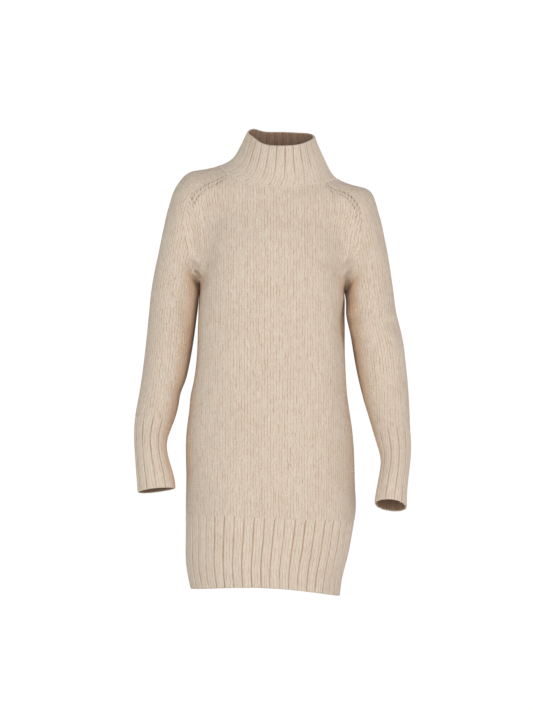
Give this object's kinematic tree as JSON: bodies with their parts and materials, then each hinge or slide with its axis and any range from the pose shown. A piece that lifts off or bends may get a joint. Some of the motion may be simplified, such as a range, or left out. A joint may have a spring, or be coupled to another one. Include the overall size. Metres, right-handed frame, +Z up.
{
  "type": "sweater dress",
  "caption": "Long-sleeved knitted sweater dress in its worn form, with a ribbed funnel collar, raglan sleeves and deep ribbed cuffs and hem.",
  "frame": {"origin": "middle of the neck opening, level with the tops of the shoulders", "axes": "+Z up along the garment, -Y to its front, +X to the viewer's right when seen from the front"},
  "size_m": [0.5846, 0.2663, 0.9769],
  "materials": {
    "wool_stocking_stitch": "matt heathered oatmeal wool in stocking stitch",
    "wool_rib": "matt heathered oatmeal wool in wide rib"
  },
  "bodies": {
    "root": {"body_front": "wool_stocking_stitch", "body_back": "wool_stocking_stitch", "sleeve_left": "wool_stocking_stitch", "sleeve_right": "wool_stocking_stitch", "collar": "wool_rib", "hem_front": "wool_rib", "hem_back": "wool_rib", "cuff_left": "wool_rib", "cuff_right": "wool_rib"}
  },
  "joints": []
}
